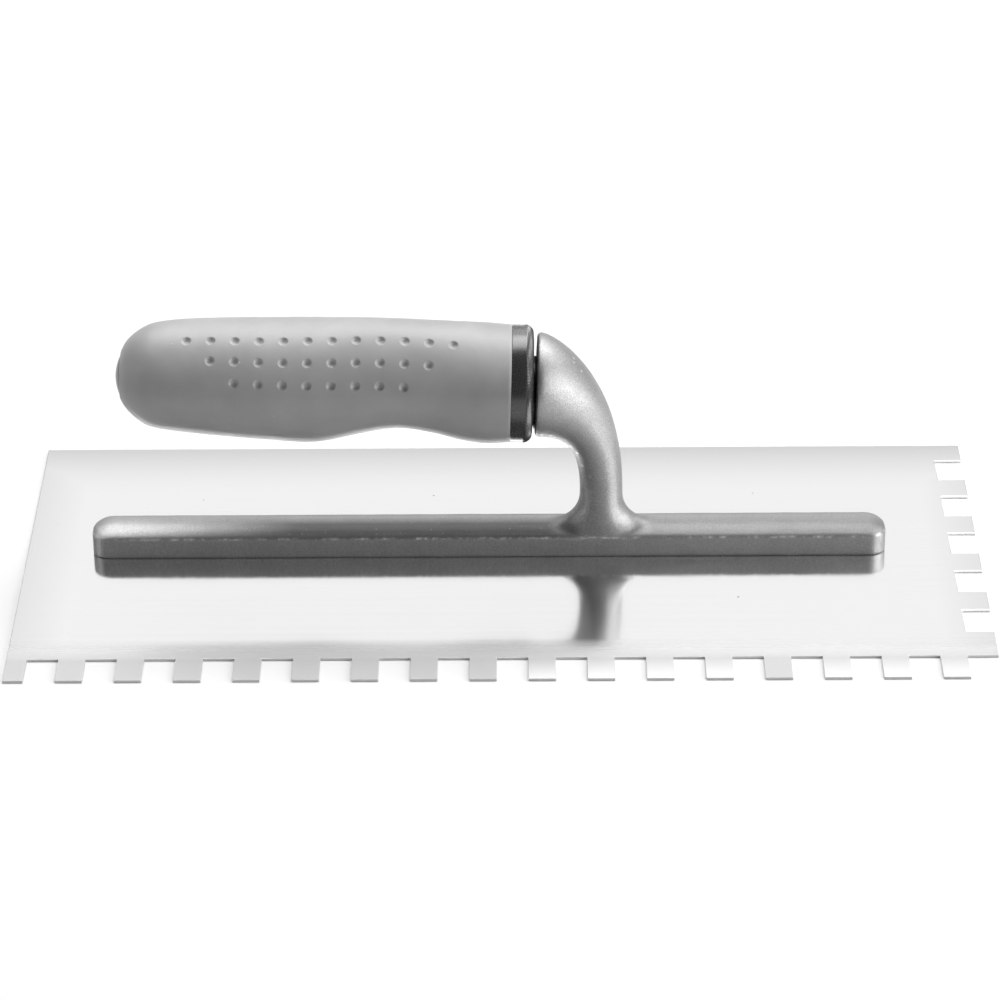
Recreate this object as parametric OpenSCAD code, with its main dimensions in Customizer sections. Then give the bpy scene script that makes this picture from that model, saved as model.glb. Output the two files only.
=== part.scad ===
// Notched trowel: a thin stainless blade riveted under a one-piece cast mounting (bar and
// swan neck), with a two-component handle held on a steel rod.
// The origin is the centre of the blade's working face. +X runs along the blade towards the
// notched short edge, +Y towards the plain long edge, +Z up through the handle.

/* [Blade] */
// Length of the blade
blade_l = 270; // [240:1:300]
// Width of the blade, from the notched long edge to the plain one
blade_w = 130; // [110:1:150]
// Thickness of the stainless sheet
blade_t = 0.7; // [0.5:0.1:1.2]

/* [Notches along the front edge] */
// Distance from one front notch to the next
front_pitch = 16; // [14:0.5:20]
// Width of a front notch
front_notch_w = 8.6; // [6:0.1:10]
// Depth of a front notch
front_notch_d = 11; // [6:0.1:12]
// Distance from the blade's left end to the middle of the first front notch
front_start = 9.8; // [8:0.1:14]

/* [Notches along the right edge] */
// Distance from one side notch to the next
side_pitch = 21.4; // [18:0.1:24]
// Width of a side notch
side_notch_w = 11.7; // [8:0.1:13]
// Depth of a side notch
side_notch_d = 7.8; // [5:0.1:9]
// Distance from the back edge to the middle of the first side notch
side_start = 15.1; // [12:0.1:18]
// Number of side notches, not counting the cut-out at the corner
side_count = 5; // [3:1:5]

/* [Mounting bar] */
// Length of the bar
bar_l = 225; // [200:1:240]
// Width of the bar
bar_w = 12.4; // [11:0.1:16]
// Height of the bar above the blade
bar_h = 8.3; // [7.5:0.1:12]
// Radius of the bar's upper edges
bar_edge_r = 3; // [1.5:0.1:3.5]
// Radius of the bar's corners, seen from above
bar_corner_r = 4.8; // [4:0.1:5.5]
// Middle of the bar along the blade
bar_x = -3.9; // [-10:0.1:10]
// Middle of the bar across the blade
bar_y = 6.3; // [0:0.1:12]

/* [Swan neck] */
// Middle of the upright neck along the blade
neck_x = 27.9; // [24:0.1:32]
// Thickness of the upright neck
neck_d = 12.1; // [10:0.1:12.3]
// Radius of the fillet where the neck grows out of the bar
neck_fillet_r = 9.2; // [5:0.1:10]
// Diameter of the round seat that the handle butts against
seat_d = 29.2; // [24:0.1:31]
// Radius of the seat's outer edge
seat_edge_r = 1; // [0.5:0.1:1.5]
// Middle of the seat's face along the blade
seat_x = 9.6; // [6:0.1:12]
// Angle by which the seat's face leans back from upright
seat_tilt = 2.2; // [0:0.1:5]
// Height of the handle's axis above the working face, at the seat
seat_z = 53; // [48:0.1:60]
// How far the seat's middle lies below the handle's axis
seat_drop = 0.2; // [0:0.1:1]

/* [Handle] */
// Place along the blade from which the handle's lengths are measured, just behind the seat's face
handle_x = 10; // [6:0.1:12]
// Angle by which the handle rises towards its butt end
handle_tilt = 1.7; // [0:0.1:5]
// Distance of the collar's face from the place where the handle's lengths start
collar_gap = 1.25; // [0.8:0.05:2]
// Diameter of the collar
collar_d = 32.8; // [31:0.1:34]
// Length of the collar
collar_l = 6.3; // [5:0.1:8]
// Radius of the collar's front edge
collar_edge_r = 2.7; // [1:0.1:3]
// Diameter of the spigot that bridges the gap
spigot_d = 20.4; // [14:0.1:21]
// How far the spigot lies below the handle's axis
spigot_drop = 2.7; // [0:0.1:3]
// Diameter of the core inside the soft grip
core_d = 20; // [18:0.1:21]
// Diameter of the pocket and the plug at the butt end
plug_d = 12.4; // [12.2:0.1:13]

/* [Fasteners] */
// Number of rivets that hold the blade
rivet_count = 8; // [6:1:10]
// Distance from one rivet to the next
rivet_pitch = 29; // [20:0.5:29]
// Diameter of a rivet's shank
rivet_d = 4; // [3:0.1:5]
// Diameter of a rivet's flush head
rivet_head_d = 6.8; // [6:0.1:8]
// Diameter of the steel rod through the handle
rod_d = 6; // [5:0.1:6]

/* [Hidden] */

$fn = 64;
over = 1;                 // how far a cutting shape runs past a face

bar_top = blade_t + bar_h;
hull_fn = 32;
rivet_hole_depth = 5.2;   // into the bar, from the blade's upper face

// Handle lengths, measured from the neck's seat towards the butt
collar_end = collar_gap + collar_l;
core_end = 113.5;
core_taper_start = 106;
core_end_d = 15;
pocket_start = 95;
plug_start = 106;
plug_wall = 1.3;
plug_rim = 115.8;
plug_apex = 117.4;
rod_in_neck = 14;         // how deep the rod is held in the neck
rod_end = 103;
rod_play = 0.15;          // clearance round the rod in the core
washer_t = 1.2;
washer_d = 12;
nut_flats = 10;
nut_h = 5;

// Shape of the soft grip: distance from the seat, crown height, belly depth, half width
grip_stations = [
    [collar_end, collar_d / 2, collar_d / 2, collar_d / 2],
    [14, 16.9, 16.9, 16.6],
    [21, 17.2, 15.9, 16.3],
    [29, 17.6, 13.7, 15.6],
    [38.5, 18, 12.4, 15.2],
    [48.5, 18, 14.4, 15.6],
    [57, 17.7, 16.8, 16.2],
    [64, 17.5, 17.8, 16.7],
    [75, 17.1, 17.1, 16.8],
    [86.5, 16.8, 16.4, 16.3],
    [98, 16.2, 15.4, 15.6],
    [106, 15.1, 14.4, 14.6],
    [110, 13.5, 12.9, 13.1],
    [113.2, 11.1, 10.3, 10.6],
    [114.9, 9.0, 8.4, 8.6],
    [115.9, 6.9, 6.7, 6.8]
];
grip_steps = 3;           // rings between two stations
grip_sides = 48;

neck_steps = 20;
neck_sides = 40;
neck_round_steps = 5;     // rings in the seat's rounded edge and in the base fillet
// How strongly the neck's outer and inner edge curves follow the handle, then the upright
neck_outer_pull = [3, 37];
neck_inner_pull = [4, 18];
neck_straight_z = 19.7;   // height below which the neck is upright

// ---- curves -------------------------------------------------------------------------------

// Point of a cubic curve at t from 0 to 1
function cubic(a, b, c, d, t) =
    pow(1 - t, 3) * a + 3 * pow(1 - t, 2) * t * b + 3 * (1 - t) * t * t * c + pow(t, 3) * d;

// Smooth curve through a list of points: the point at fraction f between points i and i + 1
function through(p, i, f) =
    let (a = p[max(i - 1, 0)], b = p[i], c = p[i + 1], d = p[min(i + 2, len(p) - 1)])
    0.5 * (2 * b + (c - a) * f + (2 * a - 5 * b + 4 * c - d) * f * f
        + (3 * b - a - 3 * c + d) * pow(f, 3));

// Closed skin over rings of points that all have the same number of sides
module skin(rings) {
    sides = len(rings[0]);
    last = len(rings) - 1;
    polyhedron(
        points = [for (ring = rings) each ring],
        faces = concat(
            [[for (k = [sides - 1:-1:0]) k]],
            [for (j = [0:last - 1], k = [0:sides - 1])
                let (n = (k + 1) % sides)
                [j * sides + k, j * sides + n, (j + 1) * sides + n, (j + 1) * sides + k]],
            [[for (k = [0:sides - 1]) last * sides + k]]
        )
    );
}

// ---- placing ------------------------------------------------------------------------------

// The handle's own frame: Z runs from the seat towards the butt, X points up
module on_handle() {
    translate([handle_x, bar_y, seat_z])
        rotate([0, handle_tilt - 90, 0])
            children();
}

function rivet_x(i) = bar_x + (i - (rivet_count + 1) / 2) * rivet_pitch;

// ---- blade --------------------------------------------------------------------------------

// Row of square notches along the front edge
module front_notches() {
    first = -blade_l / 2 + front_start;
    for (x = [first:front_pitch:blade_l / 2])
        translate([x - front_notch_w / 2, -blade_w / 2 - over])
            square([front_notch_w, front_notch_d + over]);
}

module side_notches() {
    for (i = [0:side_count - 1])
        translate([blade_l / 2 - side_notch_d,
                   blade_w / 2 - side_start - i * side_pitch - side_notch_w / 2])
            square([side_notch_d + over, side_notch_w]);
}

// Cut-out at the corner where the two notched edges meet
module corner_cut() {
    translate([blade_l / 2 - side_notch_d, -blade_w / 2 - over])
        square([side_notch_d + over, front_notch_d + over]);
}

module rivet_body() {
    cylinder(h = blade_t, d1 = rivet_head_d, d2 = rivet_d);
    translate([0, 0, blade_t / 2])
        cylinder(h = blade_t / 2 + rivet_hole_depth, d = rivet_d);
}

module blade() {
    color("gainsboro")
        difference() {
            linear_extrude(blade_t)
                difference() {
                    square([blade_l, blade_w], center = true);
                    front_notches();
                    side_notches();
                    corner_cut();
                }
            for (i = [1:rivet_count])
                translate([rivet_x(i), bar_y, 0])
                    rivet_body();
        }
}

module rivet(i) {
    color("silver")
        translate([rivet_x(i), bar_y, 0])
            rivet_body();
}

// ---- cast mounting ------------------------------------------------------------------------

// Upright post with a rounded top, one at each corner of the bar
module bar_post() {
    rotate_extrude($fn = hull_fn)
        polygon(concat(
            [[0, 0], [bar_corner_r, 0]],
            [for (a = [0:15:90])
                [bar_corner_r - bar_edge_r * (1 - cos(a)), bar_h - bar_edge_r * (1 - sin(a))]],
            [[0, bar_h]]
        ));
}

module bar() {
    dx = bar_l / 2 - bar_corner_r;
    dy = bar_w / 2 - bar_corner_r;
    translate([bar_x, bar_y, blade_t])
        hull()
            for (sx = [-dx, dx], sy = [-dy, dy])
                translate([sx, sy, 0])
                    bar_post();
}

// Ring of the neck: its middle, and the half axis that lies in the neck's plane of bending
function neck_ring(middle, half, side_half) =
    [for (k = [0:neck_sides - 1])
        let (a = 360 * k / neck_sides)
        middle + half * cos(a) + [0, side_half * sin(a), 0]];

seat_dir = [cos(seat_tilt), 0, -sin(seat_tilt)];    // from the seat into the neck
seat_up = [sin(seat_tilt), 0, cos(seat_tilt)];
seat_mid = [seat_x, bar_y, seat_z - seat_drop];
neck_foot = [neck_x, bar_y, neck_straight_z];

// Rings of the seat's rounded edge
function seat_rings() =
    [for (j = [0:neck_round_steps])
        let (a = 90 * j / neck_round_steps,
             r = seat_d / 2 - seat_edge_r * (1 - sin(a)))
        neck_ring(seat_mid + seat_dir * seat_edge_r * (1 - cos(a)), seat_up * r, r)];

// Rings of the bend, between an outer and an inner edge curve
function bend_rings() =
    let (top = seat_mid + seat_dir * seat_edge_r,
         r = seat_d / 2,
         out_top = top + seat_up * r,
         in_top = top - seat_up * r,
         out_foot = neck_foot + [neck_d / 2, 0, 0],
         in_foot = neck_foot - [neck_d / 2, 0, 0])
    [for (j = [1:neck_steps])
        let (t = j / neck_steps,
             o = cubic(out_top, out_top + seat_dir * neck_outer_pull[0],
                       out_foot + [0, 0, neck_outer_pull[1]], out_foot, t),
             i = cubic(in_top, in_top + seat_dir * neck_inner_pull[0],
                       in_foot + [0, 0, neck_inner_pull[1]], in_foot, t),
             half = (o - i) / 2)
        neck_ring((o + i) / 2, half, norm(half))];

// Rings of the fillet that spreads along the bar, then one ring inside the bar
function base_rings() =
    concat(
        [for (j = [0:neck_round_steps])
            let (a = 90 * j / neck_round_steps,
                 spread = neck_d / 2 + neck_fillet_r * (1 - cos(a)),
                 z = bar_top + neck_fillet_r * (1 - sin(a)))
            neck_ring([neck_x, bar_y, z], [spread, 0, 0], neck_d / 2)],
        [neck_ring([neck_x, bar_y, bar_top - bar_edge_r],
                   [neck_d / 2 + neck_fillet_r, 0, 0], neck_d / 2)]
    );

module neck() {
    skin(concat(seat_rings(), bend_rings(), base_rings()));
}

module mounting() {
    color("darkgray")
        difference() {
            union() {
                bar();
                neck();
            }
            for (i = [1:rivet_count])
                translate([rivet_x(i), bar_y, 0])
                    rivet_body();
            on_handle()
                translate([0, 0, -rod_in_neck])
                    cylinder(h = rod_in_neck + collar_gap, d = rod_d);
        }
}

// ---- handle -------------------------------------------------------------------------------

module tang_rod() {
    color("dimgray")
        on_handle()
            translate([0, 0, -rod_in_neck])
                cylinder(h = rod_in_neck + rod_end, d = rod_d);
}

// Outside of the core, which also hollows the grip
module core_outside() {
    rotate_extrude()
        polygon(concat(
            [[0, collar_gap]],
            [for (a = [-90:15:0])
                [collar_d / 2 - collar_edge_r * (1 - cos(a)),
                 collar_gap + collar_edge_r * (1 + sin(a))]],
            [[collar_d / 2, collar_end], [core_d / 2, collar_end],
             [core_d / 2, core_taper_start], [core_end_d / 2, core_end], [0, core_end]]
        ));
}

// Everything on the neck's side of the seat's face
module neck_side() {
    translate(seat_mid)
        rotate([0, 90 + seat_tilt, 0])
            translate([-seat_d, -seat_d, 0])
                cube([2 * seat_d, 2 * seat_d, seat_d]);
}

module handle_core() {
    color("#303030")
        difference() {
            on_handle()
                difference() {
                    union() {
                        core_outside();
                        translate([-spigot_drop, 0, 0])
                            cylinder(h = collar_gap + collar_edge_r, d = spigot_d);
                    }
                    translate([0, 0, -over])
                        cylinder(h = core_end, d = rod_d + 2 * rod_play);
                    translate([0, 0, pocket_start])
                        cylinder(h = core_end, d = plug_d);
                }
            neck_side();
        }
}

module grip_outside() {
    rings = concat(
        [for (i = [0:len(grip_stations) - 2], j = [0:grip_steps - 1])
            through(grip_stations, i, j / grip_steps)],
        [grip_stations[len(grip_stations) - 1]]
    );
    skin([for (s = rings)
        [for (k = [0:grip_sides - 1])
            let (a = -360 * k / grip_sides)
            [(cos(a) > 0 ? s[1] : s[2]) * cos(a), s[3] * sin(a), s[0]]]]);
}

module soft_grip() {
    color("darkgray")
        on_handle()
            difference() {
                grip_outside();
                core_outside();
                translate([0, 0, core_end - over])
                    cylinder(h = plug_apex, d = plug_d);
            }
}

module rod_washer() {
    color("lightgray")
        on_handle()
            translate([0, 0, pocket_start])
                difference() {
                    cylinder(h = washer_t, d = washer_d);
                    translate([0, 0, -over])
                        cylinder(h = washer_t + 2 * over, d = rod_d + 2 * rod_play);
                }
}

module rod_nut() {
    color("lightgray")
        on_handle()
            translate([0, 0, pocket_start + washer_t])
                difference() {
                    cylinder(h = nut_h, d = nut_flats / cos(30), $fn = 6);
                    translate([0, 0, -over])
                        cylinder(h = nut_h + 2 * over, d = rod_d);
                }
}

// Cup that closes the pocket, with a gently domed outer face
module butt_plug() {
    dome = plug_apex - plug_rim;
    dome_r = (pow(plug_d / 2, 2) + dome * dome) / (2 * dome);
    dome_a = asin(plug_d / 2 / dome_r);
    color("#303030")
        on_handle()
            difference() {
                rotate_extrude()
                    polygon(concat(
                        [[0, plug_start], [plug_d / 2, plug_start]],
                        [for (j = [6:-1:0])
                            [dome_r * sin(dome_a * j / 6),
                             plug_apex - dome_r * (1 - cos(dome_a * j / 6))]]
                    ));
                translate([0, 0, plug_start - over])
                    cylinder(h = plug_rim - plug_wall - plug_start + over, d = plug_d - 2 * plug_wall);
            }
}

blade();
mounting();
tang_rod();
handle_core();
soft_grip();
rod_washer();
rod_nut();
butt_plug();
for (i = [1:rivet_count])
    rivet(i);
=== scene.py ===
# %% [markdown]
# # A notched trowel
#
# A tiler spreads adhesive with this tool: a thin stainless blade with square notches on two edges, an
# aluminium casting that stiffens the blade and rises in a swan neck, and a two-component handle.
# Nothing moves, so every piece rides on the one CAD body. The CAD model gives the sizes and places. Here
# each visible piece is made again with the fine shape that the CAD leaves out, and gets its finish.

# %% Load the frame
import math

import bmesh
import bpy
from mathutils import Matrix, Vector, noise


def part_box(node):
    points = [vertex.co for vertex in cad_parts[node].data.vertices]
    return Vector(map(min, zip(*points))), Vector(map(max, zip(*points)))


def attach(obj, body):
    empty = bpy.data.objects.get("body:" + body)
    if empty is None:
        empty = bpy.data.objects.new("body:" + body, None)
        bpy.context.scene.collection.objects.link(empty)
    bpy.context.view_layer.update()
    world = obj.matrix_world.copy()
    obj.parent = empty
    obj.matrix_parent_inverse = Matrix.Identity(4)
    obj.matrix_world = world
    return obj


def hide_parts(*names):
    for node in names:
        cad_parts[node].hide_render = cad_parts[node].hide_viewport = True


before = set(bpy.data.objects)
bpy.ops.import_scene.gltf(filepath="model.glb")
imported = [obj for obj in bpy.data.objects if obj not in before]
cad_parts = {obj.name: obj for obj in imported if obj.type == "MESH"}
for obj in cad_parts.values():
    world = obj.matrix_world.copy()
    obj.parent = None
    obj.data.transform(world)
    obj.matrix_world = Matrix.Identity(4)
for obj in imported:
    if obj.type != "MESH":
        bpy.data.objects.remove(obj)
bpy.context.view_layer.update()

MM = 0.001

# %% [markdown]
# ## Where things are
#
# The handle has its own straight axis, which leans back by a small angle. The rod and its washer are both
# turned about that axis, so the middles of their two boxes lie on it, and the line through them is the axis.
# A matrix then takes a shape drawn upright, with its Z axis towards the butt and X up, to its place.

# %% The handle's axis
def middle(node):
    low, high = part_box(node)
    return (low + high) / 2


ROD_MIDDLE = 44.5 * MM              # from the neck's seat to the middle of the rod
to_butt = (middle("rod_washer") - middle("tang_rod")).normalized()
seat_point = middle("tang_rod") - to_butt * ROD_MIDDLE
across = Vector((0, 1, 0))
upward = across.cross(to_butt)
HANDLE = Matrix((upward, across, to_butt)).transposed().to_4x4()
HANDLE.translation = seat_point
print("handle starts at", [round(v / MM, 2) for v in seat_point], "mm, and leans",
      round(math.degrees(math.asin(to_butt.z)), 2), "degrees")

# %% [markdown]
# ## From a bmesh to a piece
#
# Every new piece ends in the same way. Its doubles are merged, its faces turned outwards and its mesh
# shaded smooth, with an edge kept sharp where two faces meet at more than a chosen angle, in degrees. The
# object stays at the origin, so that its Object coordinates are the tool's own coordinates in metres, and
# all patterns can use real sizes.

# %% Finish a piece
def finish_piece(name, bm, nodes, sharp_at=35, merge=1e-6):
    bmesh.ops.remove_doubles(bm, verts=bm.verts, dist=merge)
    bmesh.ops.recalc_face_normals(bm, faces=bm.faces)
    mesh = bpy.data.meshes.new(name)
    bm.to_mesh(mesh)
    bm.free()
    mesh.shade_smooth()
    mesh.set_sharp_from_angle(angle=math.radians(sharp_at))
    piece = bpy.data.objects.new(name, mesh)
    bpy.context.scene.collection.objects.link(piece)
    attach(piece, "root")
    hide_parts(*nodes)
    mesh.calc_loop_triangles()
    print(f"{name}: {len(mesh.loop_triangles)} triangles")
    return piece


# %% [markdown]
# ## The blade
#
# The blade is cut from 0.7 mm stainless sheet, ground and polished. The CAD solid has the right outline,
# with its notches and countersunk rivet holes, so a copy of it is used. Its mesh is loose triangles: they
# are merged, and flat neighbours dissolved into whole faces. A cut edge is never razor sharp, and the tiny
# bevel round the outline is what catches the light as a thin line. The rivet holes lie along the bar and
# under it, so edges close to the bar's middle line are left alone.

# %% Blade
EDGE_BREAK = 0.09 * MM
CUT_ANGLE = math.radians(60)        # faces that meet at more than this are a cut edge
RIVET_STRIP = 5 * MM                # half the strip along the bar that holds the rivet holes
blade_low, blade_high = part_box("blade")

bm = bmesh.new()
bm.from_mesh(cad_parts["blade"].data)
bmesh.ops.remove_doubles(bm, verts=bm.verts, dist=1e-6)
bmesh.ops.dissolve_limit(bm, angle_limit=math.radians(1), verts=bm.verts, edges=bm.edges)
bar_line = middle("tang_rod").y


def is_outline(edge):
    if not edge.is_manifold or edge.calc_face_angle() < CUT_ANGLE:
        return False
    return all(abs(v.co.y - bar_line) > RIVET_STRIP for v in edge.verts)


outline = [e for e in bm.edges if is_outline(e)]
bmesh.ops.bevel(bm, geom=outline, offset=EDGE_BREAK, offset_type="OFFSET", segments=2, profile=0.5,
                affect="EDGES", material=-1, clamp_overlap=True)
print("blade:", len(outline), "outline edges broken, sheet",
      round((blade_high.z - blade_low.z) / MM, 2), "mm thick")
blade = finish_piece("trowel_blade", bm, ["blade"], sharp_at=20)

# %% [markdown]
# ## The cast mounting
#
# The bar and the swan neck are one aluminium casting. A casting has no crisp inner corners: metal flows
# round a fillet everywhere. It could be joined with booleans and bevelled, but the fillet between an oval
# neck and a rounded bar is hard for a bevel. So the two are made as plain overlapping shapes, and a voxel
# remesh melts them into one skin, which a little smoothing then relaxes.
#
# The bar comes first. It is a stretched cube: its four upright edges are bevelled wide, for the round
# ends, and the rim of its top a little.

# %% The bar of the mounting
BAR_WIDTH = 12.4 * MM
BAR_HEIGHT = 8.3 * MM
BAR_CORNER = 4.8 * MM
BAR_EDGE = 0.9 * MM
RIM_ANGLE = 1                       # in radians: only the rim's faces meet at more than this

casting_low, casting_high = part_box("mounting")
bar_top = blade_high.z + BAR_HEIGHT
bar_length = casting_high.x - casting_low.x
bar_centre = Vector(((casting_low.x + casting_high.x) / 2, bar_line, (blade_high.z + bar_top) / 2))


def round_edges(bm, edges, offset, segments):
    bmesh.ops.bevel(bm, geom=edges, offset=offset, offset_type="OFFSET", segments=segments, profile=0.5,
                    affect="EDGES", material=-1)


bar = bmesh.new()
bmesh.ops.create_cube(bar, size=1)
bmesh.ops.scale(bar, vec=(bar_length, BAR_WIDTH, BAR_HEIGHT), verts=bar.verts)
bmesh.ops.translate(bar, vec=bar_centre, verts=bar.verts)
upright = [e for e in bar.edges if abs((e.verts[0].co - e.verts[1].co).normalized().z) > 0.9]
round_edges(bar, upright, BAR_CORNER, segments=12)
rim = [e for e in bar.edges if all(v.co.z > bar_top - 1e-6 for v in e.verts) and len(e.link_faces) == 2
       and e.calc_face_angle() > RIM_ANGLE]
round_edges(bar, rim, BAR_EDGE, segments=4)
print("bar:", round(bar_length / MM, 1), "mm long,", len(bar.faces), "faces")

# %% [markdown]
# ## The swan neck
#
# The neck grows out of the bar as an oval, turns upright and round, and then swells as it bends over,
# until it is the round seat that the handle butts against. It is lofted: unit circles are stretched and
# placed by matrices along two edge curves, one for the inside of the bend and one for the outside, and
# bridged one after another. Both curves are cubic, so each is held by its two ends and by how strongly it
# is pulled along the handle at one end and upright at the other. The seat was cast half a degree steeper
# than the handle sits, so it has its own tilt.

# %% Sizes of the neck
NECK_X = 27.9 * MM
NECK_WIDTH = 12.1 * MM
NECK_FILLET = 9.2 * MM
NECK_FOOT_Z = 19.7 * MM
NECK_SINK = 3 * MM                  # how far the loft reaches into the bar
SEAT_RADIUS = 14.6 * MM
SEAT_EDGE = 1.0 * MM
SEAT_SHIFT = Vector((-0.4, 0, -0.2)) * MM    # of the seat's middle, from where the handle's lengths start
SEAT_TILT = math.radians(2.2)
NECK_SIDES = 96
BEND_RINGS = 44
CURVE_RINGS = 10
OUTER_PULL = (3 * MM, 37 * MM)      # of the outer edge, along the handle and then upright
INNER_PULL = (4 * MM, 18 * MM)
QUARTER_TURN = math.radians(90)

seat_middle = seat_point + SEAT_SHIFT
seat_out = Vector((-math.cos(SEAT_TILT), 0, math.sin(SEAT_TILT)))
seat_up = Vector((math.sin(SEAT_TILT), 0, math.cos(SEAT_TILT)))
print("seat: radius", SEAT_RADIUS / MM, "mm, tilted by", round(math.degrees(SEAT_TILT), 1), "degrees")


# %% Rings of the neck
def cubic(a, b, c, d, t):
    return a * (1 - t) ** 3 + b * (3 * t * (1 - t) ** 2) + c * (3 * t * t * (1 - t)) + d * t ** 3


def ring_matrix(centre, half, side_half):
    normal = half.cross(across).normalized()
    matrix = Matrix((half, across * side_half, normal * MM)).transposed().to_4x4()
    matrix.translation = centre
    return matrix


def bend_edge(side, pull, t):
    """Point of the bend's outer (side 1) or inner (side -1) edge, from the seat (t 0) to the foot (t 1)."""
    start = seat_middle - seat_out * SEAT_EDGE + seat_up * SEAT_RADIUS * side
    end = Vector((NECK_X + NECK_WIDTH / 2 * side, bar_line, NECK_FOOT_Z))
    return cubic(start, start - seat_out * pull[0], end + Vector((0, 0, pull[1])), end, t)


rings = []
for j in range(CURVE_RINGS + 1):    # the seat's rounded rim
    a = QUARTER_TURN * j / CURVE_RINGS
    radius = SEAT_RADIUS - SEAT_EDGE * (1 - math.sin(a))
    rim_centre = seat_middle - seat_out * SEAT_EDGE * (1 - math.cos(a))
    rings.append(ring_matrix(rim_centre, seat_up * radius, radius))
for j in range(1, BEND_RINGS + 1):  # the bend
    outer = bend_edge(1, OUTER_PULL, j / BEND_RINGS)
    inner = bend_edge(-1, INNER_PULL, j / BEND_RINGS)
    half = (outer - inner) / 2
    rings.append(ring_matrix((outer + inner) / 2, half, half.length))
for j in range(CURVE_RINGS + 1):    # the foot, which spreads along the bar
    a = QUARTER_TURN * j / CURVE_RINGS
    spread = NECK_WIDTH / 2 + NECK_FILLET * (1 - math.cos(a))
    z = bar_top + NECK_FILLET * (1 - math.sin(a))
    rings.append(ring_matrix(Vector((NECK_X, bar_line, z)), Vector((spread, 0, 0)), NECK_WIDTH / 2))
rings.append(ring_matrix(Vector((NECK_X, bar_line, bar_top - NECK_SINK)),
                         Vector((NECK_WIDTH / 2 + NECK_FILLET, 0, 0)), NECK_WIDTH / 2))
print("neck:", len(rings), "rings")


# %% Loft of the neck
def loft(bm, matrices, sides):
    loops = []
    for k, matrix in enumerate(matrices):
        is_end = k in (0, len(matrices) - 1)
        made = bmesh.ops.create_circle(bm, cap_ends=is_end, segments=sides, radius=1, matrix=matrix)
        loops.append(list({e for v in made["verts"] for e in v.link_edges}))
    for lower, upper in zip(loops, loops[1:]):
        bmesh.ops.bridge_loops(bm, edges=lower + upper)


neck = bmesh.new()
loft(neck, rings, NECK_SIDES)
print("neck:", len(neck.faces), "faces")

# %% [markdown]
# ## Melting the two into one casting
#
# The Remesh modifier wants one object, so both meshes go into it. A voxel of under half a millimetre keeps
# the seat's rounded edge, and a few passes of smoothing take away the steps that voxels leave.

# %% Melt
VOXEL = 0.42 * MM
SMOOTH_PASSES = 4

rough = bpy.data.meshes.new("casting_shapes")
for part in (bar, neck):
    bmesh.ops.remove_doubles(part, verts=part.verts, dist=1e-6)
    bmesh.ops.recalc_face_normals(part, faces=part.faces)
    if rough.vertices:
        part.from_mesh(rough)
    part.to_mesh(rough)
    part.free()
rough_object = bpy.data.objects.new("casting_shapes", rough)
bpy.context.scene.collection.objects.link(rough_object)
remesh = rough_object.modifiers.new("melt", "REMESH")
remesh.mode = "VOXEL"
remesh.voxel_size = VOXEL
melted = bpy.data.meshes.new_from_object(rough_object.evaluated_get(bpy.context.evaluated_depsgraph_get()))
bpy.data.objects.remove(rough_object)

bm = bmesh.new()
bm.from_mesh(melted)
for _ in range(SMOOTH_PASSES):
    bmesh.ops.smooth_vert(bm, verts=bm.verts, factor=0.5, use_axis_x=True, use_axis_y=True, use_axis_z=True)
print("casting:", len(bm.faces), "faces after the remesh")

# %% [markdown]
# ## The arched top of the bar
#
# The bar's top isn't flat. It is a low arch, like a loaf, and it falls away more towards the front and the
# ends than towards the back. A flat top would mirror one part of the light evenly; the arch gives it a soft
# change of tone from ridge to rim. Points of the bar's upper half are simply let down by a formula, which
# fades out up the neck's fillet so that the two still flow together. After that, slow noise moves the skin
# by a few hundredths of a millimetre, because a blasted casting is never quite true, and its highlights
# waver. The face that lies on the blade is left as it is.

# %% Arch and waver
FRONT_DROP = 1.8 * MM               # how much lower the rim is than the ridge, in front and at the ends
BACK_DROP = 0.8 * MM
ARCH_START = blade_high.z + 4.2 * MM
WAVER = 0.05 * MM
WAVE_SIZE = 6 * MM
LYING_FACE = 0.6 * MM               # height above the blade that the waver leaves alone


def clamped(value):
    return min(max(value, 0), 1)


def arch_drop(place):
    half_width = BAR_WIDTH / 2
    aside = clamped(abs(place.y - bar_line) / half_width)
    to_end = clamped(1 - (bar_length / 2 - abs(place.x - bar_centre.x)) / half_width)
    side_drop = FRONT_DROP if place.y < bar_line else BACK_DROP
    share = clamped((place.z - ARCH_START) / (bar_top - ARCH_START))
    fade = clamped(1 - (place.z - bar_top) / NECK_FILLET)
    return min(side_drop * aside ** 2 + FRONT_DROP * to_end ** 2, FRONT_DROP) * share * fade


for v in bm.verts:
    v.co.z -= arch_drop(v.co)
bm.normal_update()
for v in bm.verts:
    if v.co.z > blade_high.z + LYING_FACE:
        v.co += v.normal * WAVER * noise.noise(v.co / WAVE_SIZE)
mounting = finish_piece("cast_mounting", bm, ["mounting"], sharp_at=60)

# %% [markdown]
# ## The hard core of the handle
#
# The core is moulded first, in hard black plastic, and the soft grip is moulded over it. Only its collar and
# the spigot that meets the neck stay in sight. It is a turned shape, so its profile is drawn once as a thin
# wire and spun about the handle's axis. The profile could be built up from cylinders instead, but a spin
# makes the rounded front of the collar and the bore in one go, with no inner walls.

# %% Profile of the core
COLLAR_GAP = 1.25 * MM              # from the seat to the collar's front face
COLLAR_END = 7.55 * MM
COLLAR_RADIUS = 16.4 * MM
COLLAR_ROUND = 2.7 * MM
COLLAR_LIP = 0.4 * MM
SPIGOT_RADIUS = 10.2 * MM
SPIGOT_EDGE = 0.2 * MM
CORE_RADIUS = 10.0 * MM
CORE_TAPER = 106 * MM
CORE_END = 113.5 * MM
CORE_END_RADIUS = 7.5 * MM
POCKET_START = 95 * MM
POCKET_RADIUS = 6.2 * MM
BORE_RADIUS = 3.15 * MM
RIB_COUNT = 245


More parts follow.
